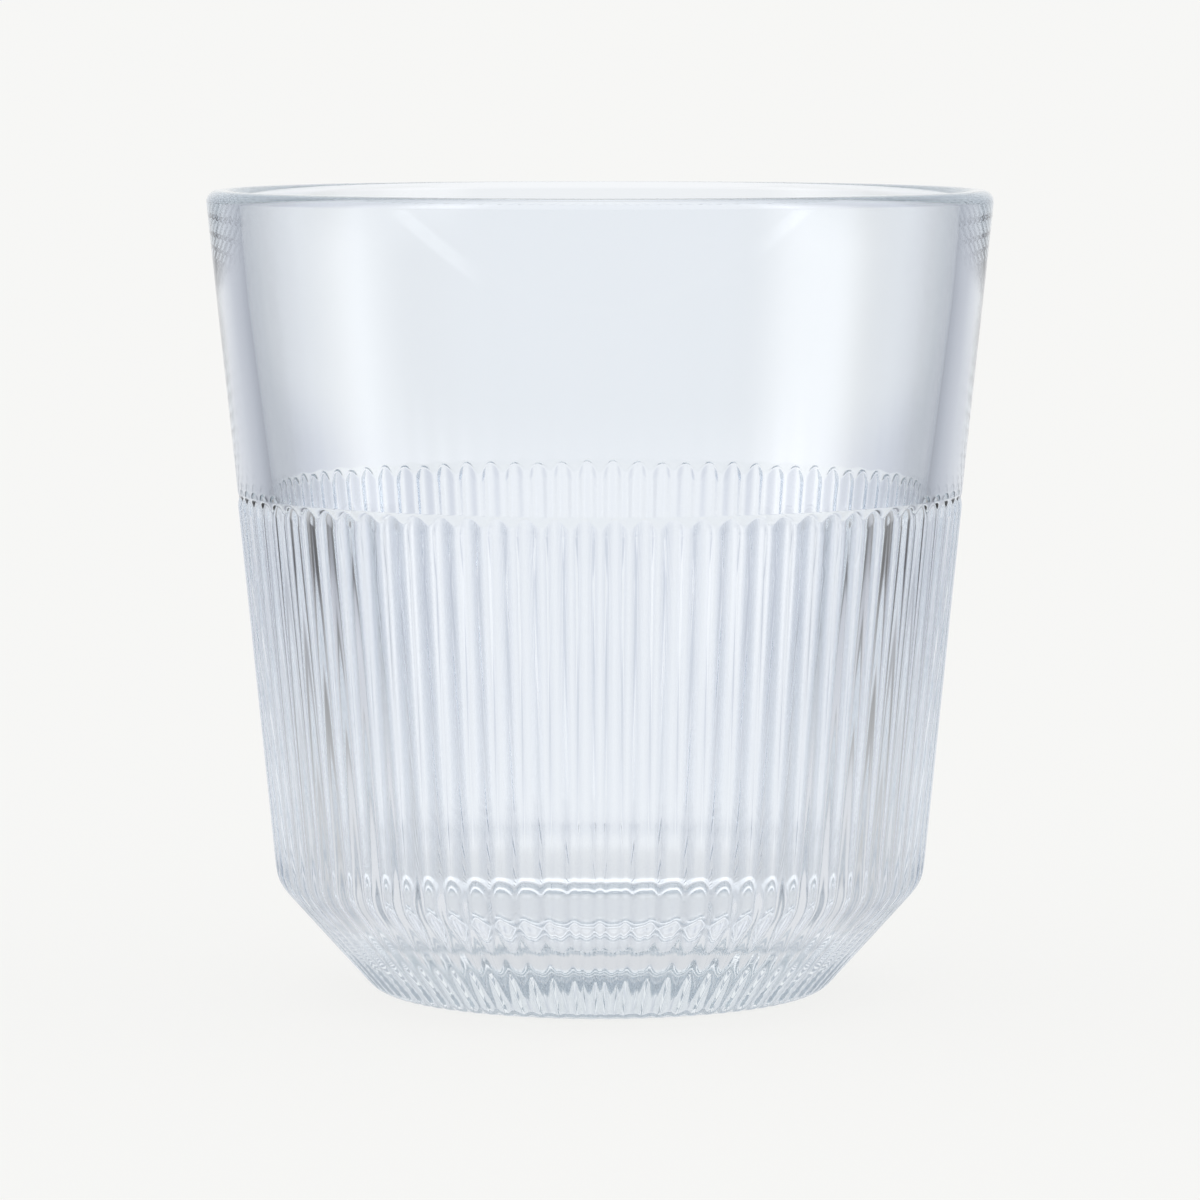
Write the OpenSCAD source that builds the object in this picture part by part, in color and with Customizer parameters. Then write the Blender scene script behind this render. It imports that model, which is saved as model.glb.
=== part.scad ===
// Juice glass: a single piece of pressed clear glass. A smooth band flares up to a round rim. Below it
// stands a wall of upright reeds, which turn in at a soft shoulder and run down a chamfer to the foot.
// Millimetres. The origin is the centre of the resting face, +Z is up, and the wall turns about Z.

/* [Overall] */
// Height from the resting face to the top of the rim
height = 82; // [76:1:90]
// Outer diameter of the rim
rim_d = 80.2; // [78:0.2:86]
// Thickness of the wall at the rim, which is rounded over all of it
rim_wall = 2.9; // [1.8:0.1:3.4]

/* [Reeded wall] */
// Number of reeds round the glass
reed_count = 80; // [60:1:90]
// Height of the tops of the reeds
reed_top_z = 51; // [44:0.2:58]
// Diameter over the reeds at their tops
waist_d = 74; // [71.6:0.2:76]
// Thickness of the wall at the tops of the reeds, measured from their crests
waist_wall = 3.5; // [2.6:0.1:4.4]
// Depth of the valleys between the reeds, at their tops
reed_depth = 0.5; // [0.3:0.05:0.7]
// Height of the round top of a reed, from the valley beside it to its crest
reed_arch = 0.9; // [0.4:0.1:1.4]

/* [Band] */
// Gap between the tops of the reeds and the rounded lower edge of the band
band_gap = 0.4; // [0.2:0.1:1]
// Radius of that lower edge
band_lip = 0.4; // [0.2:0.1:1]
// Width of the flat that runs in from this edge to the neck behind the tops of the reeds
band_ledge = 0.1; // [0.1:0.05:0.4]

/* [Shoulder and foot] */
// Diameter of the corner that the shoulder rounds off
shoulder_d = 66.4; // [62:0.2:69]
// Height of that corner
shoulder_z = 11.4; // [9:0.2:14]
// Radius of the shoulder
shoulder_radius = 4.4; // [2:0.2:6]
// Thickness of the wall at that corner, measured level from the corner
shoulder_wall = 5.2; // [4.2:0.1:6.2]
// Diameter of the corner between the chamfer and the resting face
foot_d = 46; // [42:1:50]
// Radius of the heel that rounds off this corner
heel_radius = 3; // [1:0.2:3.4]
// Diameter of the shallow hollow under the foot
hollow_d = 38; // [30:1:39]
// Depth of this hollow at its middle
hollow_depth = 1.2; // [0.6:0.1:2]

/* [Inside] */
// Height of the inner floor above the resting face
floor_z = 6.8; // [5.6:0.2:9]
// Radius of the corner between the inner floor and the wall
floor_radius = 10; // [7:0.5:12]

/* [Hidden] */
$fn = 192;

// Share of a reed's width that its convex crest takes; the rest is the rounded valley
crest_share = 0.6;
// Points on a reed, from one valley to the next, and steps along each rounded stretch
reed_samples = 4;
heel_steps = 3;
shoulder_steps = 4;
dome_steps = 3;
// The turn over which the tops of the reeds round in to the neck
dome_turn = 90;
// One overrun for all cuts
overrun = 1;

// Radii at the corners of the outline, and the depth of the reeds there, which narrow with the glass
rim_r = rim_d / 2;
waist_r = waist_d / 2;
shoulder_r = shoulder_d / 2;
foot_r = foot_d / 2;
shoulder_depth = reed_depth * shoulder_r / waist_r;
foot_depth = reed_depth * foot_r / waist_r;

// Outline corners of the reeds' crests, from the foot up
axis_corner = [0, 0];
foot_corner = [foot_r, 0];
shoulder_corner = [shoulder_r, shoulder_z];
waist_corner = [waist_r, reed_top_z];

// The band's lower edge, its outer line up to the rim, and the centre of the rim's rounding
band_z = reed_top_z + band_gap;
rim_radius = rim_wall / 2;
rim_centre = [rim_r - rim_radius, height - rim_radius];
band_slope = (rim_r - waist_r) / (height - reed_top_z);
band_r = waist_r + band_slope * (band_z + band_lip - reed_top_z);

// The neck stands inside the band's flat underside, and the tops of the reeds round in to it
neck_r = band_r - band_lip - band_ledge;
neck_depth = waist_r - neck_r;

// The inner wall's line, from the rim through the waist and past the shoulder to the floor's corner
inner_rim = [rim_r - rim_wall, height - rim_radius];
inner_waist = [waist_r - waist_wall, reed_top_z];
inner_shoulder = [shoulder_r - shoulder_wall, shoulder_z];
inner_slope = (inner_waist[0] - inner_shoulder[0]) / (inner_waist[1] - inner_shoulder[1]);
floor_corner = [inner_shoulder[0] + inner_slope * (floor_z - shoulder_z), floor_z];

function unit(v) = v / norm(v);

// Centre of an arc of the given radius that rounds off the corner b between a and c
function round_centre(a, b, c, radius) =
    let (u = unit(a - b), v = unit(c - b), half = acos(u * v) / 2)
    b + unit(u + v) * radius / sin(half);

// Where that arc leaves the line from b towards a
function round_end(a, b, c, radius) =
    let (u = unit(a - b), v = unit(c - b), half = acos(u * v) / 2)
    b + u * radius / tan(half);

// Points along that arc, from the side of a to the side of c
function rounded(a, b, c, radius, steps) =
    let (
        centre = round_centre(a, b, c, radius),
        from = round_end(a, b, c, radius) - centre,
        to = round_end(c, b, a, radius) - centre,
        start = atan2(from[1], from[0]),
        turn = (atan2(to[1], to[0]) - start + 540) % 360 - 180
    )
    [for (k = [0 : steps]) let (t = start + turn * k / steps) centre + radius * [cos(t), sin(t)]];

// Each ring of the reeded skin is [radius at the crests, height, depth of the valleys, fall at the valleys]
heel_rings = [
    for (k = [0 : heel_steps])
        let (p = rounded(axis_corner, foot_corner, shoulder_corner, heel_radius, heel_steps)[k])
        [p[0], p[1], foot_depth * k / heel_steps, 0]
];
shoulder_rings = [
    for (p = rounded(foot_corner, shoulder_corner, waist_corner, shoulder_radius, shoulder_steps))
        [p[0], p[1], shoulder_depth, 0]
];
dome_rings = [
    for (k = [0 : dome_steps])
        let (t = dome_turn * k / dome_steps)
        [
            waist_r - neck_depth * (1 - cos(t)),
            reed_top_z - neck_depth * (1 - sin(t)),
            reed_depth * cos(t),
            reed_arch
        ]
];
neck_ring = [neck_r, band_z + band_lip, 0, 0];
skin_rings = concat(heel_rings, shoulder_rings, dome_rings, [neck_ring]);
columns = reed_count * reed_samples;

// How deep a point lies between its reed's crest, at 0, and the valley, at 1
function off_crest(column) =
    let (aside = abs(2 * (column % reed_samples) / reed_samples - 1))
    aside < crest_share
        ? pow(aside, 2) / crest_share
        : 1 - pow(1 - aside, 2) / (1 - crest_share);

function ring_points(ring) = [
    for (c = [0 : columns - 1])
        let (a = 360 * c / columns, off = off_crest(c), r = ring[0] - ring[2] * off)
        [r * cos(a), r * sin(a), ring[1] - ring[3] * off]
];

// The solid inside the reeds' skin, from the resting face up into the band behind its rounded edge
module reeded_body() {
    last = len(skin_rings) - 1;
    polyhedron(
        points = [for (ring = skin_rings) each ring_points(ring)],
        faces = [
            [for (c = [0 : columns - 1]) c],
            [for (c = [columns - 1 : -1 : 0]) last * columns + c],
            for (k = [0 : last - 1], c = [0 : columns - 1])
                let (low = k * columns, high = low + columns, d = (c + 1) % columns)
                each [[low + c, high + c, low + d], [low + d, high + c, high + d]]
        ]
    );
}

// Half section of the space inside the glass, with its rounded floor corner, up past the rim
module inner_section() {
    a = [0, floor_z];
    b = floor_corner;
    c = inner_waist;
    polygon([
        a,
        round_end(a, b, c, floor_radius),
        round_end(c, b, a, floor_radius),
        inner_waist,
        inner_rim,
        [inner_rim[0], height + overrun],
        [0, height + overrun]
    ]);
    intersection() {
        translate(round_centre(a, b, c, floor_radius))
            circle(r = floor_radius);
        translate([0, floor_z])
            square([rim_r, floor_radius]);
    }
}

// Half section of the smooth band's wall, with its round rim and its rounded lower edge
module band_section() {
    difference() {
        union() {
            polygon([
                [0, band_z],
                [band_r - band_lip, band_z],
                [band_r, band_z + band_lip],
                [rim_r, rim_centre[1]],
                [0, rim_centre[1]]
            ]);
            translate([band_r - band_lip, band_z + band_lip])
                circle(r = band_lip);
            translate(rim_centre)
                circle(r = rim_radius);
        }
        inner_section();
    }
}

// A shallow dome under the foot, so that the glass rests on a ring
module foot_hollow() {
    dome_r = (pow(hollow_d / 2, 2) + pow(hollow_depth, 2)) / (2 * hollow_depth);
    translate([0, 0, hollow_depth - dome_r])
        sphere(r = dome_r);
}

module tumbler() {
    color("aliceblue")
        union() {
            difference() {
                reeded_body();
                rotate_extrude() inner_section();
                foot_hollow();
            }
            rotate_extrude() band_section();
        }
}

tumbler();
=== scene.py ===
"""A pressed juice glass: a smooth flared band over a wall of upright reeds, a chamfer and a thick foot.

The glass is one piece. Its section is drawn as a run of stations from the inner floor, over the rim and
down the outside to the middle of the foot. A Geometry Nodes tree turns the stations round the axis and
presses the reeds into them. Lengths are in metres, unless a field says otherwise.
"""

import logging
import math
from dataclasses import dataclass
from enum import Enum

import bpy
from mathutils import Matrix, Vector


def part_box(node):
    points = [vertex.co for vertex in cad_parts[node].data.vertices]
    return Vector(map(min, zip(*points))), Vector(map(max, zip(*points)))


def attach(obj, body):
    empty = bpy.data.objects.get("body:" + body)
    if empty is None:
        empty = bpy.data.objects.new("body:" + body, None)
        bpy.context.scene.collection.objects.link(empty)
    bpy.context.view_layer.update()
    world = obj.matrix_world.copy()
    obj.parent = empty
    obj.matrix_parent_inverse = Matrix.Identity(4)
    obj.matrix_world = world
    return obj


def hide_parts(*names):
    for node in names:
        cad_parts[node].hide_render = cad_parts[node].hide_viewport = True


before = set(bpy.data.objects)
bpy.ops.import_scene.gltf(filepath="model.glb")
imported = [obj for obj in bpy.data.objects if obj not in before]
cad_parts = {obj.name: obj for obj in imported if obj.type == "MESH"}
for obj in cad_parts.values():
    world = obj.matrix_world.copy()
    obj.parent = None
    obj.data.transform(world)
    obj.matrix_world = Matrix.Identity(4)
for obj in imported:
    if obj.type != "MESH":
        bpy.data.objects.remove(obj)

MM = 0.001
QUARTER_TURN = math.pi / 2
FULL_TURN = 2 * math.pi
HALF_TURN_DEGREES = 180.0
LOG = logging.getLogger("juice_glass")
Colour = tuple[float, float, float]
Socket = bpy.types.NodeSocket
Feeds = dict[str | int, object]


class Side(Enum):
    """The two sides of the table, as the camera sees it."""

    FRONT = "front"
    BEHIND = "behind"


class Grading(Enum):
    """How a colour runs from one stop of a ramp to the next."""

    THROUGH = "CARDINAL"
    EASED = "EASE"


def arc(centre: Vector, radius: float, start: float, end: float, steps: int) -> list[Vector]:
    """Lays points along an arc.

    Args:
        centre: Middle of the arc, as radius and height.
        radius: Radius of the arc.
        start: Angle of the first point, in radians from the outward direction.
        end: Angle of the last point.
        steps: Number of steps between them.

    Returns:
        The points, both ends included.
    """
    angles = [start + (end - start) * k / steps for k in range(steps + 1)]
    return [centre + radius * Vector((math.cos(a), math.sin(a))) for a in angles]


def rounded(before: Vector, corner: Vector, after: Vector, radius: float, steps: int) -> list[Vector]:
    """Rounds off a corner of the section.

    Args:
        before: A point on the line that reaches the corner.
        corner: The sharp corner.
        after: A point on the line that leaves it.
        radius: Radius of the rounding.
        steps: Number of steps along it.

    Returns:
        The points along the rounding, from the first line to the second.
    """
    back, ahead = (before - corner).normalized(), (after - corner).normalized()
    half = back.angle(ahead) / 2
    centre = corner + (back + ahead).normalized() * radius / math.sin(half)
    reach = radius / math.tan(half)
    first, last = corner + back * reach - centre, corner + ahead * reach - centre
    start = math.atan2(first.y, first.x)
    turn = (math.atan2(last.y, last.x) - start + 3 * math.pi) % FULL_TURN - math.pi
    return arc(centre, radius, start, start + turn, steps)


def between(a: Vector, b: Vector, steps: int) -> list[Vector]:
    """Returns the points that cut the line from a to b into equal steps, without its ends."""
    return [a.lerp(b, k / steps) for k in range(1, steps)]


def lean_of(low: Vector, high: Vector) -> float:
    """Returns how far the outward normal of the wall from low to high points down, in radians."""
    return math.atan2(high.x - low.x, high.y - low.y)


def placed(name: str, data: bpy.types.ID) -> bpy.types.Object:
    """Sets an object in the scene, at the origin.

    Args:
        name: The object's name.
        data: Its mesh or camera.

    Returns:
        The object.
    """
    thing = bpy.data.objects.new(name, data)
    bpy.context.scene.collection.objects.link(thing)
    return thing


def turned(
    name: str, profile: list[tuple[float, float]], turns: int, material: bpy.types.Material
) -> bpy.types.Object:
    """Turns a profile round the glass's axis.

    Args:
        name: Name of the surface.
        profile: Radius and height of each of its points. A point on the axis closes it there.
        turns: Number of facets round the axis.
        material: What it is made of.

    Returns:
        The surface.
    """
    verts, rings, faces = [], [], []
    for r, z in profile:
        first = len(verts)
        count = turns if r > 0 else 1
        angles = [FULL_TURN * c / turns for c in range(count)]
        verts += [(r * math.cos(a), r * math.sin(a), z) for a in angles]
        rings.append([first + c % count for c in range(turns + 1)])
    for low, high in zip(rings, rings[1:]):
        for c in range(turns):
            corners = (low[c], high[c], high[c + 1], low[c + 1])
            faces.append(tuple(dict.fromkeys(corners)))
    mesh = bpy.data.meshes.new(name)
    mesh.from_pydata(verts, [], faces)
    mesh.materials.append(material)
    return placed(name, mesh)


class TreeSketch:
    """Adds and wires the nodes of one Geometry Nodes or shader tree."""

    def __init__(self, tree: bpy.types.NodeTree) -> None:
        """Keeps the tree that the nodes go into."""
        self.tree = tree

    def add(self, kind: str, feeds: Feeds | None = None, **settings: object) -> bpy.types.Node:
        """Adds a node.

        Args:
            kind: The node's type name.
            feeds: Numbers or outputs for its inputs, by their names or places.
            **settings: Values for the node's own properties.

        Returns:
            The new node.
        """
        node = self.tree.nodes.new(kind)
        for name, value in settings.items():
            setattr(node, name, value)
        for key, value in (feeds or {}).items():
            self.feed(node.inputs[key], value)
        return node

    def feed(self, socket: Socket, value: object) -> None:
        """Wires an output to a socket, or sets the socket's own value.

        Args:
            socket: The input to feed.
            value: An output of another node, or a plain value.
        """
        if isinstance(value, Socket):
            self.tree.links.new(value, socket)
        else:
            socket.default_value = value

    def math(self, operation: str, *values: object, kind: str = "ShaderNodeMath") -> Socket:
        """Adds a math node and feeds its inputs in order.

        Args:
            operation: The node's operation.
            *values: Numbers or outputs for its inputs.
            kind: The type of math node.

        Returns:
            The node's result.
        """
        return self.add(kind, dict(enumerate(values)), operation=operation).outputs[0]


@dataclass(frozen=True)
class PressedGlass:
    """Clear soda-lime glass out of a polished mould.

    Args:
        slot: Name of the glass's material slot.
        tint: Colour that each face passes on.
        ior: Refractive index.
        body_tint: Colour that the thick glass takes on.
        body_density: How strongly it does, per metre.
        ripple_size: Width of the faint ripples that the mould leaves.
        ripple_height: Height of those ripples.
        ripple_detail: Finer layers in them.
        wear_size: Width of the patches that washing has dulled a little.
        wear_detail: Finer layers in them.
        wear_from: Strength of that pattern at which the dulling starts.
        wear_to: Strength at which it is complete.
        haze: Roughness in the dullest of the patches.
    """

    slot: str = "clear_glass"
    tint: Colour = (0.960, 0.978, 1.0)
    ior: float = 1.52
    body_tint: Colour = (0.72, 0.81, 0.85)
    body_density: float = 8.0
    ripple_size: float = 14 * MM
    ripple_height: float = 0.004 * MM
    ripple_detail: float = 1.0
    wear_size: float = 9 * MM
    wear_detail: float = 3.0
    wear_from: float = 0.45
    wear_to: float = 0.75
    haze: float = 0.012

    @staticmethod
    def patches(sketch: TreeSketch, place: Socket, size: float, detail: float) -> Socket:
        """Adds a cloudy pattern to the glass.

        Args:
            sketch: The material's nodes.
            place: The point of the glass at which it is read.
            size: Width of its patches.
            detail: Finer layers in them.

        Returns:
            The pattern's strength, from 0 to 1.
        """
        feeds = {"Vector": place, "Scale": 1 / size, "Detail": detail}
        return sketch.add("ShaderNodeTexNoise", feeds).outputs[0]

    def material(self) -> bpy.types.Material:
        """Builds the glass.

        Returns:
            The material, with a faint ripple, slightly dulled patches and absorption in its thickness.
        """
        material = bpy.data.materials.new(self.slot)
        material.use_nodes = True
        sketch = TreeSketch(material.node_tree)
        place = sketch.add("ShaderNodeTexCoord").outputs["Object"]
        ripple = self.patches(sketch, place, self.ripple_size, self.ripple_detail)
        bump = sketch.add("ShaderNodeBump", {"Distance": self.ripple_height, "Height": ripple})
        dulled = sketch.add(
            "ShaderNodeMapRange",
            {
                "Value": self.patches(sketch, place, self.wear_size, self.wear_detail),
                "From Min": self.wear_from,
                "From Max": self.wear_to,
                "To Max": self.haze,
            },
        )
        shader = material.node_tree.nodes["Principled BSDF"].inputs
        sketch.feed(shader["Base Color"], (*self.tint, 1))
        sketch.feed(shader["IOR"], self.ior)
        sketch.feed(shader["Transmission Weight"], 1.0)
        sketch.feed(shader["Roughness"], dulled.outputs["Result"])
        sketch.feed(shader["Normal"], bump.outputs["Normal"])
        body = sketch.add(
            "ShaderNodeVolumeAbsorption", {"Color": (*self.body_tint, 1), "Density": self.body_density}
        )
        output = material.node_tree.nodes["Material Output"]
        sketch.feed(output.inputs["Volume"], body.outputs["Volume"])
        return material


@dataclass(frozen=True)
class Station:
    """One ring of the glass.

    Args:
        r: Radius over the crests of the reeds.
        z: Height of the ring at the crests.
        relief: Depth of the valleys between the reeds, square to the wall.
        fall: How far the ring lies lower in the valleys than on the crests.
        lean: Angle of the wall's outward normal below the horizontal, in radians.
    """

    r: float
    z: float
    relief: float = 0.0
    fall: float = 0.0
    lean: float = 0.0


@dataclass(frozen=True)
class Steps:
    """How many steps each stretch of the glass's section takes.

    Args:
        floor: The flat inner floor.
        floor_corner: Its rounded corner.
        inner_wall: The inner wall below the waist, and again above it.
        rim: Each of the rim's two roundings.
        band: The smooth band.
        lip: The band's rounded lower edge.
        dome: The round tops of the reeds.
        wall: The reeded wall.
        shoulder: The rounded shoulder.
        chamfer: The reeded chamfer.
        heel: The rounded heel.
        hollow: The hollow under the foot.
    """

    floor: int = 4
    floor_corner: int = 14
    inner_wall: int = 2
    rim: int = 8
    band: int = 3
    lip: int = 9
    dome: int = 8
    wall: int = 8
    shoulder: int = 12
    chamfer: int = 6
    heel: int = 8
    hollow: int = 6


@dataclass(frozen=True)
class Tumbler:
    """The glass itself, one piece from the rim to the foot.

    Args:
        height: Height from the resting face to the top of the rim.
        rim_r: Outer radius of the rim.
        finish: The glass that it is made of.
        rim_wall: Thickness of the wall at the rim.
        rim_rounding: Radius of the rim's inner and outer roundings.
        reeds: Number of reeds round the glass.
        reed_columns: Steps of the mesh across one reed.
        crest_share: Share of a reed's width that its convex crest takes.
        reed_top: Height of the waist, where the reeds end under the band.
        waist_r: Radius over the reeds there.
        waist_wall: Thickness of the wall there.
        relief: Depth of the valleys between the reeds at the waist.
        shoulder_relief: Depth of the valleys at the shoulder.
        foot_relief: Depth of the valleys at the heel.
        arch: How far the top of a valley lies below the top of the reed beside it.
        dome: Height of a reed's round top.
        groove: Depth of the groove between the reeds' tops and the band.
        lip: Height of the band's rounded lower edge.
        shoulder_r: Radius of the corner that the shoulder rounds off.
        shoulder_z: Height of that corner.
        shoulder_wall: Thickness of the wall at that corner.
        shoulder_rounding: Radius of the shoulder.
        foot_r: Radius of the corner between the chamfer and the resting face.
        heel_rounding: Radius of the heel that rounds off this corner.
        hollow_r: Radius of the shallow hollow under the foot.
        hollow_depth: Depth of this hollow at its middle.
        floor_z: Height of the inner floor above the resting face.
        floor_rounding: Radius of the corner between the inner floor and the wall.
        seam_gap: Gap across which the seam and the poles are closed.
        steps: How finely the section is cut.
    """

    height: float
    rim_r: float
    finish: PressedGlass
    rim_wall: float = 2.9 * MM
    rim_rounding: float = 1.2 * MM
    reeds: int = 80
    reed_columns: int = 12
    crest_share: float = 0.6
    reed_top: float = 51.0 * MM
    waist_r: float = 37.0 * MM
    waist_wall: float = 3.5 * MM
    relief: float = 0.45 * MM
    shoulder_relief: float = 0.40 * MM
    foot_relief: float = 0.33 * MM
    arch: float = 0.9 * MM
    dome: float = 1.2 * MM
    groove: float = 0.25 * MM
    lip: float = 0.3 * MM
    shoulder_r: float = 33.2 * MM
    shoulder_z: float = 11.4 * MM
    shoulder_wall: float = 5.2 * MM
    shoulder_rounding: float = 4.4 * MM
    foot_r: float = 23.0 * MM
    heel_rounding: float = 3.0 * MM
    hollow_r: float = 19.0 * MM
    hollow_depth: float = 1.2 * MM
    floor_z: float = 6.8 * MM
    floor_rounding: float = 10.0 * MM
    seam_gap: float = 0.001 * MM
    steps: Steps = Steps()

    def inside(self) -> list[Station]:
        """Lays the stations of the inside.

        Returns:
            The stations from the middle of the inner floor up to the rim.
        """
        middle = Vector((0.0, self.floor_z))
        waist = Vector((self.waist_r - self.waist_wall, self.reed_top))
        shoulder = Vector((self.shoulder_r - self.shoulder_wall, self.shoulder_z))
        slope = (waist.x - shoulder.x) / (waist.y - shoulder.y)
        corner = Vector((shoulder.x - slope * (shoulder.y - self.floor_z), self.floor_z))
        rim = Vector((self.rim_r - self.rim_wall, self.height - self.rim_rounding))
        bend = rounded(middle, corner, waist, self.floor_rounding, self.steps.floor_corner)
        floor = between(middle, bend[0], self.steps.floor)
        low_wall = between(bend[-1], waist, self.steps.inner_wall)
        high_wall = between(waist, rim, self.steps.inner_wall)
        return [Station(p.x, p.y) for p in [middle, *floor, *bend, *low_wall, waist, *high_wall]]

    def rim(self) -> list[Station]:
        """Lays the stations over the rim.

        Returns:
            The stations from its inner rounding to its outer one.
        """
        radius = self.rim_rounding
        inner = Vector((self.rim_r - self.rim_wall + radius, self.height - radius))
        outer = Vector((self.rim_r - radius, self.height - radius))
        points = arc(inner, radius, math.pi, QUARTER_TURN, self.steps.rim)
        points += arc(outer, radius, QUARTER_TURN, 0.0, self.steps.rim)
        return [Station(p.x, p.y) for p in points]

    def band(self) -> list[Station]:
        """Lays the stations of the smooth band.

        Returns:
            The stations down the band and round its lip to the groove over the reeds.
        """
        rim = Vector((self.rim_r, self.height - self.rim_rounding))
        waist = Vector((self.waist_r, self.reed_top))
        lip_z = self.reed_top + self.lip
        lip_r = self.waist_r + (self.rim_r - self.waist_r) * (lip_z - waist.y) / (rim.y - waist.y)
        points = between(rim, Vector((lip_r, lip_z)), self.steps.band)
        stations = [Station(p.x, p.y) for p in points]
        for k in range(self.steps.lip + 1):
            share = (k / self.steps.lip) ** 2
            r = lip_r + (self.waist_r - self.groove - lip_r) * share
            z = lip_z - self.lip * k / self.steps.lip
            stations.append(Station(r, z, (self.relief - self.groove) * share, self.arch * share))
        return stations

    def reed_tops(self) -> list[Station]:
        """Lays the stations of the reeds' round tops.

        Returns:
            The stations from the groove under the band down to the full width of the reeds.
        """
        stations = []
        for k in range(1, self.steps.dome + 1):
            left = (1 - k / self.steps.dome) ** 2
            r = self.waist_r - self.groove * left
            z = self.reed_top - self.dome * k / self.steps.dome
            stations.append(Station(r, z, self.relief - self.groove * left, self.arch))
        return stations

    def reeded(self) -> list[Station]:
        """Lays the stations of the reeds below their tops.

        Returns:
            The stations down the wall, round the shoulder, down the chamfer and round the heel.
        """
        middle = Vector((0.0, 0.0))
        foot = Vector((self.foot_r, 0.0))
        shoulder = Vector((self.shoulder_r, self.shoulder_z))
        waist = Vector((self.waist_r, self.reed_top))
        top = Vector((self.waist_r, self.reed_top - self.dome))
        wall_lean, chamfer_lean = lean_of(shoulder, waist), lean_of(foot, shoulder)
        bend = rounded(waist, shoulder, foot, self.shoulder_rounding, self.steps.shoulder)
        heel = rounded(shoulder, foot, middle, self.heel_rounding, self.steps.heel)
        low, base = self.shoulder_relief, self.foot_relief
        stations = []
        for k, p in enumerate(between(top, bend[0], self.steps.wall), start=1):
            share = k / self.steps.wall
            relief = self.relief + (low - self.relief) * share
            stations.append(Station(p.x, p.y, relief, self.arch * (1 - share), wall_lean * share))
        for k, p in enumerate(bend):
            lean = wall_lean + (chamfer_lean - wall_lean) * k / self.steps.shoulder
            stations.append(Station(p.x, p.y, low, 0.0, lean))
        for k, p in enumerate(between(bend[-1], heel[0], self.steps.chamfer), start=1):
            relief = low + (base - low) * k / self.steps.chamfer
            stations.append(Station(p.x, p.y, relief, 0.0, chamfer_lean))
        for k, p in enumerate(heel):
            share = k / self.steps.heel
            lean = chamfer_lean + (QUARTER_TURN - chamfer_lean) * share
            stations.append(Station(p.x, p.y, base * (1 - share), 0.0, lean))
        return stations

    def underside(self) -> list[Station]:
        """Lays the stations under the foot.

        Returns:
            The stations from the resting ring to the middle of the hollow, which is part of a ball.
        """
        ball_r = (self.hollow_r ** 2 + self.hollow_depth ** 2) / (2 * self.hollow_depth)
        stations = []
        for k in range(self.steps.hollow + 1):
            r = self.hollow_r * (1 - k / self.steps.hollow)
            z = self.hollow_depth - ball_r + math.sqrt(ball_r ** 2 - r ** 2)
            stations.append(Station(r, z))
        return stations

    def section(self) -> bpy.types.Mesh:
        """Lays the whole section.

        Returns:
            The stations as a mesh of loose points, which carry the relief of the reeds.
        """
        stations = self.inside() + self.rim() + self.band()
        stations += self.reed_tops() + self.reeded() + self.underside()
        mesh = bpy.data.meshes.new("tumbler_section")
        mesh.from_pydata([(s.r, 0.0, s.z) for s in stations], [], [])
        for name in ("relief", "fall", "lean"):
            layer = mesh.attributes.new(name, "FLOAT", "POINT")
            layer.data.foreach_set("value", [getattr(s, name) for s in stations])
        return mesh

    @staticmethod
    def off_crest(sketch: TreeSketch, along: Socket, crest_share: Socket) -> Socket:
        """Measures how deep a point lies between the crest of its reed and the valley.

        Args:
            sketch: The tree's nodes.
            along: Place along the ring, in reeds, with the valleys at whole numbers.
            crest_share: Share of a reed's width that its convex crest takes.

        Returns:
            0 on the crest and 1 in the valley.
        """
        phase = sketch.math("FRACT", along)
        aside = sketch.math("ABSOLUTE", sketch.math("MULTIPLY_ADD", phase, 2.0, -1.0))
        crest = sketch.math("DIVIDE", sketch.math("POWER", aside, 2.0), crest_share)
        rest = sketch.math("POWER", sketch.math("SUBTRACT", 1.0, aside), 2.0)
        rounding = sketch.math("DIVIDE", rest, sketch.math("SUBTRACT", 1.0, crest_share))
        valley = sketch.math("SUBTRACT", 1.0, rounding)
        on_crest = sketch.math("LESS_THAN", aside, crest_share)
        return sketch.math("MULTIPLY_ADD", sketch.math("SUBTRACT", crest, valley), on_crest, valley)

    @staticmethod
    def at_station(sketch: TreeSketch, section: Socket, ring: Socket, kind: str, value: Socket) -> Socket:
        """Reads a value of the section for each ring.

        Args:
            sketch: The tree's nodes.
            section: The section's loose points.
            ring: Number of the ring, and so of its station.
            kind: The value's data type.
            value: The value on the section's points.

        Returns:
            The value of the ring's station.
        """
        feeds = {"Geometry": section, "Value": value, "Index": ring}
        node = sketch.add("GeometryNodeSampleIndex", feeds, data_type=kind, domain="POINT")
        return node.outputs["Value"]

    def carried(self, sketch: TreeSketch, section: Socket, ring: Socket, name: str) -> Socket:
        """Reads a number that the stations carry, for each ring.

        Args:
            sketch: The tree's nodes.
            section: The section's loose points.
            ring: Number of the ring.
            name: The number's name.

        Returns:
            The number.
        """
        named = sketch.add("GeometryNodeInputNamedAttribute", {"Name": name}, data_type="FLOAT")
        return self.at_station(sketch, section, ring, "FLOAT", named.outputs["Attribute"])

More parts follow.
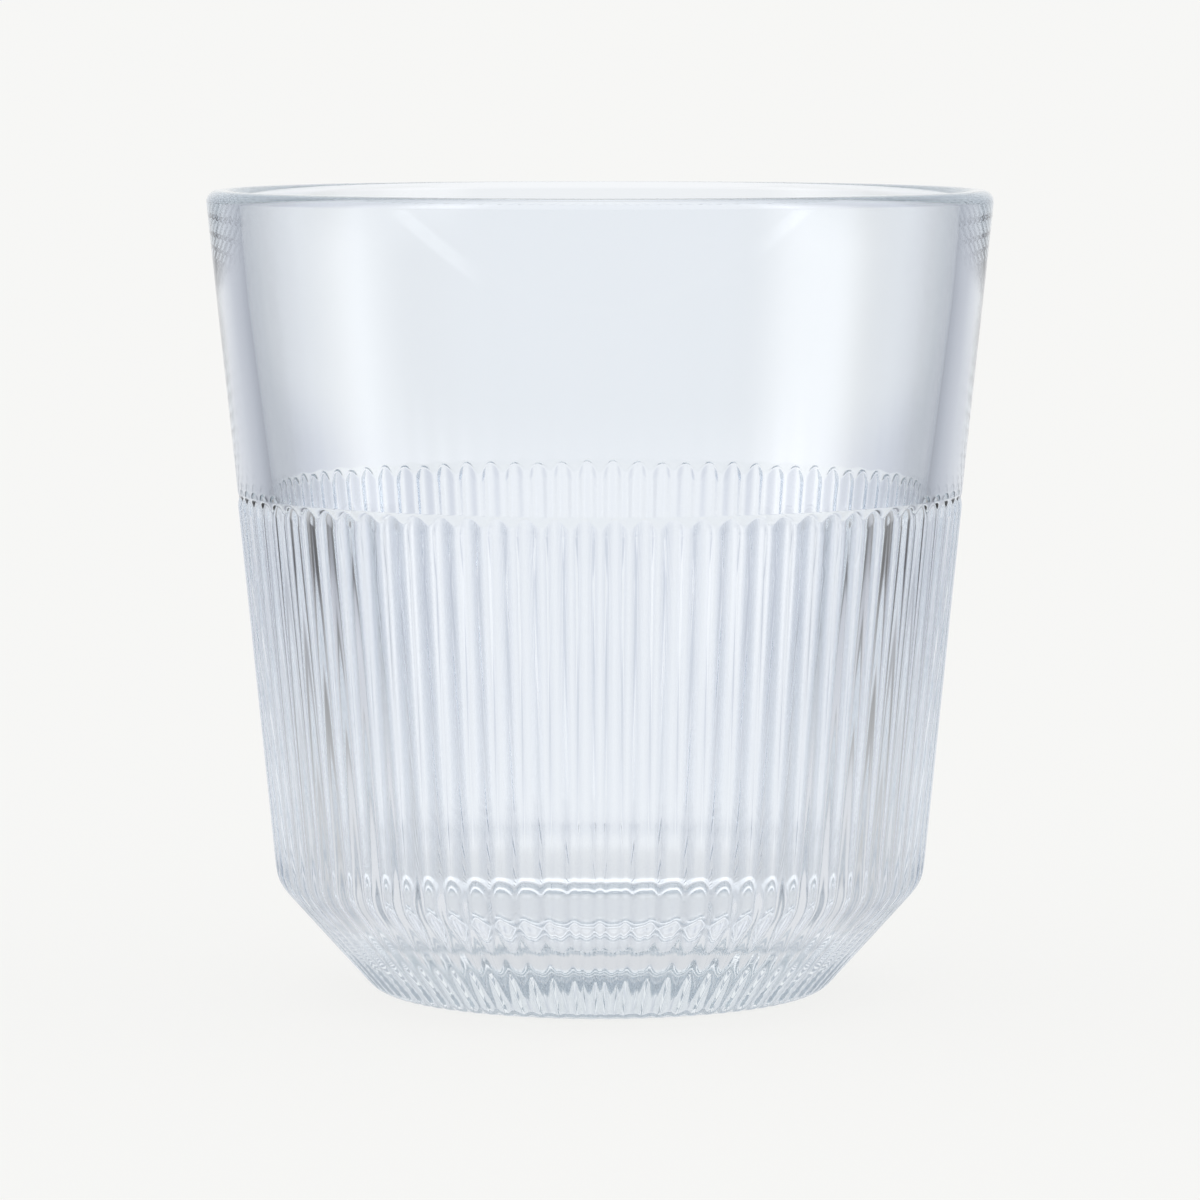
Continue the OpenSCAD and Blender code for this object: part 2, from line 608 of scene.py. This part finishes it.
    def turning_tree(self) -> bpy.types.NodeTree:
        """Builds the tree that turns the stations round the axis and presses the reeds into them.

        Returns:
            The tree, with the number and form of the reeds among its inputs.
        """
        tree = bpy.data.node_groups.new("turn_and_press_reeds", "GeometryNodeTree")
        inputs = {
            "Section": "NodeSocketGeometry",
            "Reeds": "NodeSocketInt",
            "Columns in a reed": "NodeSocketInt",
            "Crest share": "NodeSocketFloat",
            "Seam gap": "NodeSocketFloat",
            "Glass": "NodeSocketMaterial",
        }
        for name, kind in inputs.items():
            tree.interface.new_socket(name, in_out="INPUT", socket_type=kind)
        tree.interface.new_socket("Tumbler", in_out="OUTPUT", socket_type="NodeSocketGeometry")
        s = TreeSketch(tree)
        given = s.add("NodeGroupInput").outputs
        section = given["Section"]

        # A grid with a row for each station and a column for each step round the glass
        whole = "FunctionNodeIntegerMath"
        columns = s.math("MULTIPLY", given["Reeds"], given["Columns in a reed"], kind=whole)
        across = s.math("ADD", columns, 1, kind=whole)
        size = s.add("GeometryNodeAttributeDomainSize", {0: section}, component="MESH")
        feeds = {"Vertices X": size.outputs["Point Count"], "Vertices Y": across}
        grid = s.add("GeometryNodeMeshGrid", feeds).outputs["Mesh"]
        index = s.add("GeometryNodeInputIndex").outputs[0]
        ring = s.math("DIVIDE_FLOOR", index, across, kind=whole)
        column = s.math("FLOORED_MODULO", index, across, kind=whole)

        # What each ring's station says
        spot = s.add("GeometryNodeInputPosition").outputs[0]
        placing = self.at_station(s, section, ring, "FLOAT_VECTOR", spot)
        place = s.add("ShaderNodeSeparateXYZ", {0: placing}).outputs
        relief, fall, lean = [self.carried(s, section, ring, name) for name in ("relief", "fall", "lean")]

        # The reeds, pressed in square to the wall, with the tops of their valleys lower than the crests
        along = s.math("DIVIDE", column, given["Columns in a reed"])
        off = self.off_crest(s, along, given["Crest share"])
        depth = s.math("MULTIPLY", relief, off)
        inward = s.math("MULTIPLY", depth, s.math("COSINE", lean))
        upward = s.math("MULTIPLY", depth, s.math("SINE", lean))
        radius = s.math("SUBTRACT", place["X"], inward)
        lift = s.math("SUBTRACT", upward, s.math("MULTIPLY", fall, off))
        height = s.math("ADD", place["Z"], lift)
        angle = s.math("MULTIPLY", s.math("DIVIDE", along, given["Reeds"]), FULL_TURN)
        x = s.math("MULTIPLY", radius, s.math("COSINE", angle))
        y = s.math("MULTIPLY", radius, s.math("SINE", angle))
        point = s.add("ShaderNodeCombineXYZ", {"X": x, "Y": y, "Z": height}).outputs[0]

        # The grid laid on these points, closed, smooth and dressed
        moved = s.add("GeometryNodeSetPosition", {"Geometry": grid, "Position": point}).outputs[0]
        feeds = {"Geometry": moved, "Distance": given["Seam gap"]}
        closed = s.add("GeometryNodeMergeByDistance", feeds).outputs[0]
        smooth = s.add("GeometryNodeSetShadeSmooth", {"Geometry": closed}).outputs[0]
        real = s.add("GeometryNodeRealizeInstances", {"Geometry": smooth}).outputs[0]
        feeds = {"Geometry": real, "Material": given["Glass"]}
        dressed = s.add("GeometryNodeSetMaterial", feeds).outputs[0]
        s.add("NodeGroupOutput", {0: dressed})
        return tree

    def build(self) -> bpy.types.Object:
        """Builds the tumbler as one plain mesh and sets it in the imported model's place.

        Returns:
            The finished piece.
        """
        stock = placed("tumbler_stock", self.section())
        turning = stock.modifiers.new("turning", "NODES")
        turning.node_group = self.turning_tree()
        values = {
            "Reeds": self.reeds,
            "Columns in a reed": self.reed_columns,
            "Crest share": self.crest_share,
            "Seam gap": self.seam_gap,
            "Glass": self.finish.material(),
        }
        for item in turning.node_group.interface.items_tree:
            if item.name in values:
                turning[item.identifier] = values[item.name]
        bpy.context.view_layer.update()
        graph = bpy.context.evaluated_depsgraph_get()
        mesh = bpy.data.meshes.new_from_object(stock.evaluated_get(graph), depsgraph=graph)
        stock.modifiers.remove(turning)
        bpy.data.objects.remove(stock)
        mesh.name = "pressed_tumbler"
        piece = placed("pressed_tumbler", mesh)
        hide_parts("tumbler")
        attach(piece, "root")
        return piece


@dataclass(frozen=True)
class Shade:
    """A shade of the light tent, alike on its left and right.

    Args:
        bearing: Where it is, in degrees from the front.
        light: Light that it gives, red, green and blue.
    """

    bearing: float
    light: Colour


@dataclass(frozen=True)
class Ring:
    """How bright the table is at one distance from the middle of the glass, against the tent's light.
    Below 1 it is the glass's painted shadow, above 1 a painted glint.

    Args:
        radius: The distance.
        behind: Brightness behind the glass: the glass's painted shadow, and a painted glint where it
            gathers the light that it casts down.
        front: Brightness before it, which paints the glass's shadow there.
    """

    radius: float
    behind: float
    front: float

    def level(self, side: Side) -> float:
        """Returns the brightness on one side of the table."""
        return self.front if side is Side.FRONT else self.behind


@dataclass(frozen=True)
class Box:
    """One upright soft box in the light tent.

    Args:
        centre: Bearing of its middle from the front, in degrees, to the right as seen from the front.
        half: Half of its width, in degrees.
        edge: Width of its soft edge, in degrees.
        light: Light that it gives, red, green and blue.
    """

    centre: float
    half: float
    edge: float
    light: Colour


@dataclass(frozen=True)
class TentLight:
    """The light of the tent and of the table in it.

    Args:
        sides: Shades of the tent at every height, from the front round to the back.
        low_back: Shades that follow them near the table.
        high_back: Shades that follow them higher up.
        back_turn: Height at which the low back turns into the high one.
        back_fade: Height over which it does.
        boxes: The soft boxes, from the first laid to the last.
        box_top: Height of the tops of the soft boxes.
        box_fade: Height of their soft top edge.
        box_near: Distance from the middle of the glass past which the boxes show.
        box_near_fade: Width of their soft edge there.
        even_r: Distance from the middle up to which the table takes least of the tent's shades.
        even_share: Share of them that it takes there. At the tent it takes all.
        rings: Brightness of the table by distance from the middle, which paints the glass's shadow round
            its foot and a glint behind it.
        side_fade: Width over which the table's front turns into its back.
    """

    sides: tuple[Shade, ...] = (
        Shade(46.0, (0.56, 0.60, 0.70)),
        Shade(62.0, (0.45, 0.47, 0.54)),
        Shade(98.0, (0.42, 0.44, 0.50)),
        Shade(106.0, (0.02, 0.02, 0.025)),
        Shade(113.0, (0.02, 0.02, 0.025)),
        Shade(121.0, (0.24, 0.25, 0.28)),
        Shade(125.0, (0.35, 0.365, 0.405)),
        Shade(128.5, (0.425, 0.445, 0.49)),
        Shade(134.0, (0.51, 0.535, 0.59)),
        Shade(144.0, (0.62, 0.64, 0.69)),
    )
    low_back: tuple[Shade, ...] = (
        Shade(151.0, (0.70, 0.72, 0.76)),
        Shade(157.0, (0.73, 0.745, 0.79)),
        Shade(163.0, (0.80, 0.81, 0.845)),
        Shade(170.0, (0.97, 0.97, 0.97)),
    )
    high_back: tuple[Shade, ...] = (
        Shade(151.0, (0.77, 0.79, 0.82)),
        Shade(157.0, (0.89, 0.90, 0.92)),
        Shade(163.0, (0.93, 0.935, 0.93)),
    )
    back_turn: float = 0.036
    back_fade: float = 0.014
    boxes: tuple[Box, ...] = (
        Box(-75.0, 9.0, 24.0, (2.15, 2.17, 2.21)),
        Box(64.5, 15.0, 17.0, (1.98, 1.98, 2.0)),
    )
    box_top: float = 0.07
    box_fade: float = 0.03
    box_near: float = 0.16
    box_near_fade: float = 0.08
    even_r: float = 0.0238
    even_share: float = 0.15
    # The rings paint the glass's shadow under and round its foot, and a painted glint behind it where the
    # level rises above 1.
    rings: tuple[Ring, ...] = (
        Ring(0.0, 0.80, 0.80),
        Ring(0.0222, 0.80, 0.80),
        Ring(0.0236, 1.40, 0.90),
        Ring(0.0275, 1.40, 0.90),
        Ring(0.0320, 0.84, 0.93),
        Ring(0.0480, 0.87, 0.96),
        Ring(0.0850, 1.0, 1.0),
    )
    side_fade: float = 0.010

    @staticmethod
    def window(sketch: TreeSketch, value: Socket, end: float, edge: float) -> Socket:
        """Tells where a value is below an end.

        Args:
            sketch: The material's nodes.
            value: The value.
            end: The end.
            edge: Width of the soft edge. A negative one tells where the value is above the end.

        Returns:
            1 there and 0 elsewhere.
        """
        feeds = {"Value": value, "From Min": end + edge / 2, "From Max": end - edge / 2}
        return sketch.add("ShaderNodeMapRange", feeds, interpolation_type="SMOOTHSTEP").outputs["Result"]

    @staticmethod
    def blend(sketch: TreeSketch, share: Socket, under: Socket | Colour, over: Socket | Colour) -> Socket:
        """Lays one colour over another.

        Args:
            sketch: The material's nodes.
            share: How much of the upper colour shows, from 0 to 1.
            under: The colour below.
            over: The colour over it.

        Returns:
            The colour that they make.
        """
        mix = sketch.add("ShaderNodeMix", {"Factor": share}, data_type="RGBA")
        coloured = [socket for socket in mix.inputs if socket.type == "RGBA"]
        for socket, value in zip(coloured, (under, over)):
            sketch.feed(socket, (*value, 1) if isinstance(value, tuple) else value)
        return next(socket for socket in mix.outputs if socket.type == "RGBA")

    @staticmethod
    def ramp(
        sketch: TreeSketch, share: Socket, grading: Grading, stops: list[tuple[float, Colour]]
    ) -> Socket:
        """Grades a colour along a share.

        Args:
            sketch: The material's nodes.
            share: How far along the stops the colour is read, from 0 to 1.
            grading: How it runs from stop to stop.
            stops: Place and colour of each stop, in order.

        Returns:
            The colour there.
        """
        node = sketch.add("ShaderNodeValToRGB", {"Fac": share})
        node.color_ramp.interpolation = grading.value
        while len(node.color_ramp.elements) < len(stops):
            node.color_ramp.elements.new(1.0)
        for element, (place, colour) in zip(node.color_ramp.elements, stops):
            element.position = place
            element.color = (*colour, 1)
        return node.outputs["Color"]

    def tent_shade(self, sketch: TreeSketch, bearing: Socket, height: Socket) -> Socket:
        """Grades the tent's light by bearing, and by height at its back.

        Args:
            sketch: The material's nodes.
            bearing: Bearing from the front, in degrees.
            height: Height above the resting face.

        Returns:
            The tent's light.
        """
        aside = sketch.math("DIVIDE", sketch.math("ABSOLUTE", bearing), HALF_TURN_DEGREES)
        low_down = self.window(sketch, height, self.back_turn, self.back_fade)
        lights = []
        for back in (self.high_back, self.low_back):
            stops = [(shade.bearing / HALF_TURN_DEGREES, shade.light) for shade in self.sides + back]
            lights.append(self.ramp(sketch, aside, Grading.THROUGH, stops))
        return self.blend(sketch, low_down, *lights)

    def with_boxes(
        self, sketch: TreeSketch, light: Socket, bearing: Socket, height: Socket, radius: Socket
    ) -> Socket:
        """Hangs the soft boxes in the tent.

        Args:
            sketch: The material's nodes.
            light: Light of the tent and the table without them.
            bearing: Bearing from the front, in degrees.
            height: Height above the resting face.
            radius: Distance from the glass's axis.

        Returns:
            The light with the boxes laid over it.
        """
        low = self.window(sketch, height, self.box_top, self.box_fade)
        far = self.window(sketch, radius, self.box_near, -self.box_near_fade)
        shown = sketch.math("MULTIPLY", low, far)
        for box in self.boxes:
            off = sketch.math("SUBTRACT", bearing, box.centre)
            off = sketch.math("WRAP", off, HALF_TURN_DEGREES, -HALF_TURN_DEGREES)
            inside = self.window(sketch, sketch.math("ABSOLUTE", off), box.half, box.edge)
            light = self.blend(sketch, sketch.math("MULTIPLY", shown, inside), light, box.light)
        return light

    def table_shadow_and_glint(self, sketch: TreeSketch, ahead: Socket, radius: Socket) -> Socket:
        """Grades the table's brightness by its rings, before and behind the glass, which paints the
        glass's shadow and a glint on the table.

        Args:
            sketch: The material's nodes.
            ahead: Distance before the glass's axis.
            radius: Distance from that axis.

        Returns:
            The brightness, which is 1 from the last ring out, the tent included.
        """
        behind = self.window(sketch, ahead, 0.0, self.side_fade)
        reach = self.rings[-1].radius
        share = sketch.math("DIVIDE", radius, reach)
        levels = []
        for side in (Side.FRONT, Side.BEHIND):
            stops = [(ring.radius / reach, (ring.level(side),) * 3) for ring in self.rings]
            levels.append(self.ramp(sketch, share, Grading.EASED, stops))
        return self.blend(sketch, behind, *levels)

    def material(self, name: str, tent_r: float) -> bpy.types.Material:
        """Builds the light of the tent or the table.

        Args:
            name: The material's name.
            tent_r: Radius of the tent.

        Returns:
            The material.
        """
        material = bpy.data.materials.new(name)
        material.use_nodes = True
        material.node_tree.nodes.clear()
        sketch = TreeSketch(material.node_tree)
        where = sketch.add("ShaderNodeTexCoord").outputs["Object"]
        place = sketch.add("ShaderNodeSeparateXYZ", {0: where}).outputs
        ahead = sketch.math("MULTIPLY", place["Y"], -1.0)
        bearing = sketch.math("DEGREES", sketch.math("ARCTAN2", place["X"], ahead))
        flat = sketch.add("ShaderNodeCombineXYZ", {"X": place["X"], "Y": place["Y"]}).outputs[0]
        radius = sketch.add("ShaderNodeVectorMath", {0: flat}, operation="LENGTH").outputs["Value"]
        shade = self.tent_shade(sketch, bearing, place["Z"])
        feeds = {"Value": radius, "From Min": self.even_r, "From Max": tent_r, "To Min": self.even_share}
        share = sketch.add("ShaderNodeMapRange", feeds).outputs["Result"]
        light = self.blend(sketch, share, self.low_back[-1].light, shade)
        light = self.with_boxes(sketch, light, bearing, place["Z"], radius)
        # Painted shadow of the glass and painted glint, laid on the table's light.
        strength = self.table_shadow_and_glint(sketch, ahead, radius)
        glow = sketch.add("ShaderNodeEmission", {"Color": light, "Strength": strength}).outputs[0]
        sketch.add("ShaderNodeOutputMaterial", {"Surface": glow})
        return material


@dataclass(frozen=True)
class LightTent:
    """The round tent of light and its table, which only the glass sees.

    Args:
        tent_r: Radius of the tent and the table.
        tent_height: Height of the tent.
        table_z: Height of the table, just under the resting face.
        turns: Number of facets round the axis.
        light: The light that both give.
    """

    tent_r: float = 0.22
    tent_height: float = 0.50
    table_z: float = -0.0001
    turns: int = 120
    light: TentLight = TentLight()

    def screen(self, name: str, profile: list[tuple[float, float]]) -> bpy.types.Object:
        """Builds one screen of light.

        Args:
            name: The screen's name.
            profile: Radius and height at its two ends.

        Returns:
            The screen.
        """
        screen = turned(name, profile, self.turns, self.light.material(name, self.tent_r))
        screen.visible_camera = False
        screen.visible_diffuse = False
        screen.visible_shadow = False
        return screen

    def build(self) -> list[bpy.types.Object]:
        """Builds the tent and the table.

        Returns:
            The two screens.
        """
        edge = (self.tent_r, self.table_z)
        tent = self.screen("light_tent", [edge, (self.tent_r, self.tent_height)])
        table = self.screen("light_table", [(0.0, self.table_z), edge])
        return [tent, table]


@dataclass(frozen=True)
class PaleCard:
    """Matt pale card that gives off the room's light.

    Args:
        air: Light of the room.
        glow: How strongly the card gives it off.
        paper: Grey of the card under other light.
    """

    air: Colour
    glow: float = 0.916
    paper: float = 0.10

    def material(self) -> bpy.types.Material:
        """Builds the card.

        Returns:
            The material.
        """
        material = bpy.data.materials.new("pale_sweep")
        material.use_nodes = True
        shader = material.node_tree.nodes["Principled BSDF"].inputs
        shader["Base Color"].default_value = (self.paper, self.paper, self.paper, 1)
        shader["Roughness"].default_value = 1.0
        shader["Specular IOR Level"].default_value = 0.0
        shader["Emission Color"].default_value = (*self.air, 1)
        shader["Emission Strength"].default_value = self.glow
        return material


@dataclass(frozen=True)
class Sweep:
    """The pale round floor, which curves up into a wall on every side.

    Args:
        finish: What it is made of.
        floor_z: Height of the floor, just under the resting face.
        flat_r: Radius of the flat floor.
        bend_r: Radius of the curve between the floor and the wall.
        wall_top: Height of the wall.
        flat_steps: Steps across the flat floor.
        bend_steps: Steps along the curve.
        turns: Number of facets round the axis.
    """

    finish: PaleCard
    floor_z: float = -0.0002
    flat_r: float = 1.4
    bend_r: float = 1.2
    wall_top: float = 3.0
    flat_steps: int = 8
    bend_steps: int = 16
    turns: int = 96

    def build(self) -> bpy.types.Object:
        """Builds the sweep.

        Returns:
            The sweep.
        """
        points = [Vector((self.flat_r * k / self.flat_steps, 0.0)) for k in range(self.flat_steps)]
        points += arc(Vector((self.flat_r, self.bend_r)), self.bend_r, -QUARTER_TURN, 0.0, self.bend_steps)
        points.append(Vector((self.flat_r + self.bend_r, self.wall_top)))
        profile = [(p.x, self.floor_z + p.y) for p in points]
        sweep = turned("sweep", profile, self.turns, self.finish.material())
        sweep.data.shade_smooth()
        return sweep


@dataclass(frozen=True)
class View:
    """The camera, at the photograph's viewing angle.

    Args:
        lens: Focal length, in millimetres.
        sensor: Width of the sensor, in millimetres.
        distance: Distance before the glass's axis.
        height: Height above the resting face.
        target_z: Height on the axis that the camera looks at.
        nearest: Distance from which the camera sees.
    """

    lens: float = 186.0
    sensor: float = 36.0
    distance: float = 0.6333
    height: float = 0.0965
    target_z: float = 0.03997
    nearest: float = 0.01

    def build(self) -> bpy.types.Object:
        """Sets up the camera.

        Returns:
            The scene's camera.
        """
        optics = bpy.data.cameras.new("camera")
        optics.lens = self.lens
        optics.sensor_width = self.sensor
        optics.clip_start = self.nearest
        camera = placed("camera", optics)
        camera.location = (0.0, -self.distance, self.height)
        target = Vector((0.0, 0.0, self.target_z))
        camera.rotation_euler = (target - camera.location).to_track_quat("-Z", "Y").to_euler()
        bpy.context.scene.camera = camera
        return camera


@dataclass(frozen=True)
class Studio:
    """The room round the glass, with its light, the sweep, the light tent and the camera.

    Args:
        air: Light of the room.
        bounces: Faces that light may pass through or strike in the glass.
        mirrorings: Reflections among them.
        tent: The light tent.
        view: The camera.
    """

    air: Colour = (0.913, 0.913, 0.900)
    bounces: int = 32
    mirrorings: int = 24
    tent: LightTent = LightTent()
    view: View = View()

    def build(self) -> list[bpy.types.Object]:
        """Sets up the studio.

        Returns:
            The surfaces of its stage, which are no part of the glass.
        """
        scene = bpy.context.scene
        scene.world = bpy.data.worlds.new("studio")
        scene.world.use_nodes = True
        scene.world.node_tree.nodes["Background"].inputs["Color"].default_value = (*self.air, 1)
        scene.view_settings.view_transform = "Standard"
        scene.cycles.max_bounces = self.bounces
        scene.cycles.transmission_bounces = self.bounces
        scene.cycles.glossy_bounces = self.mirrorings
        stage = [Sweep(PaleCard(self.air)).build(), *self.tent.build()]
        self.view.build()
        return stage


def main() -> None:
    """Builds the glass and the studio, and reports each piece."""
    logging.basicConfig(level=logging.INFO, format="%(message)s")
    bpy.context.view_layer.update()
    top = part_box("tumbler")[1]
    glass = Tumbler(height=top.z, rim_r=top.x, finish=PressedGlass())
    pieces = [glass.build(), *Studio().build()]
    for piece in pieces:
        LOG.info("%s: %d faces", piece.name, len(piece.data.polygons))


if __name__ == "__main__":
    main()
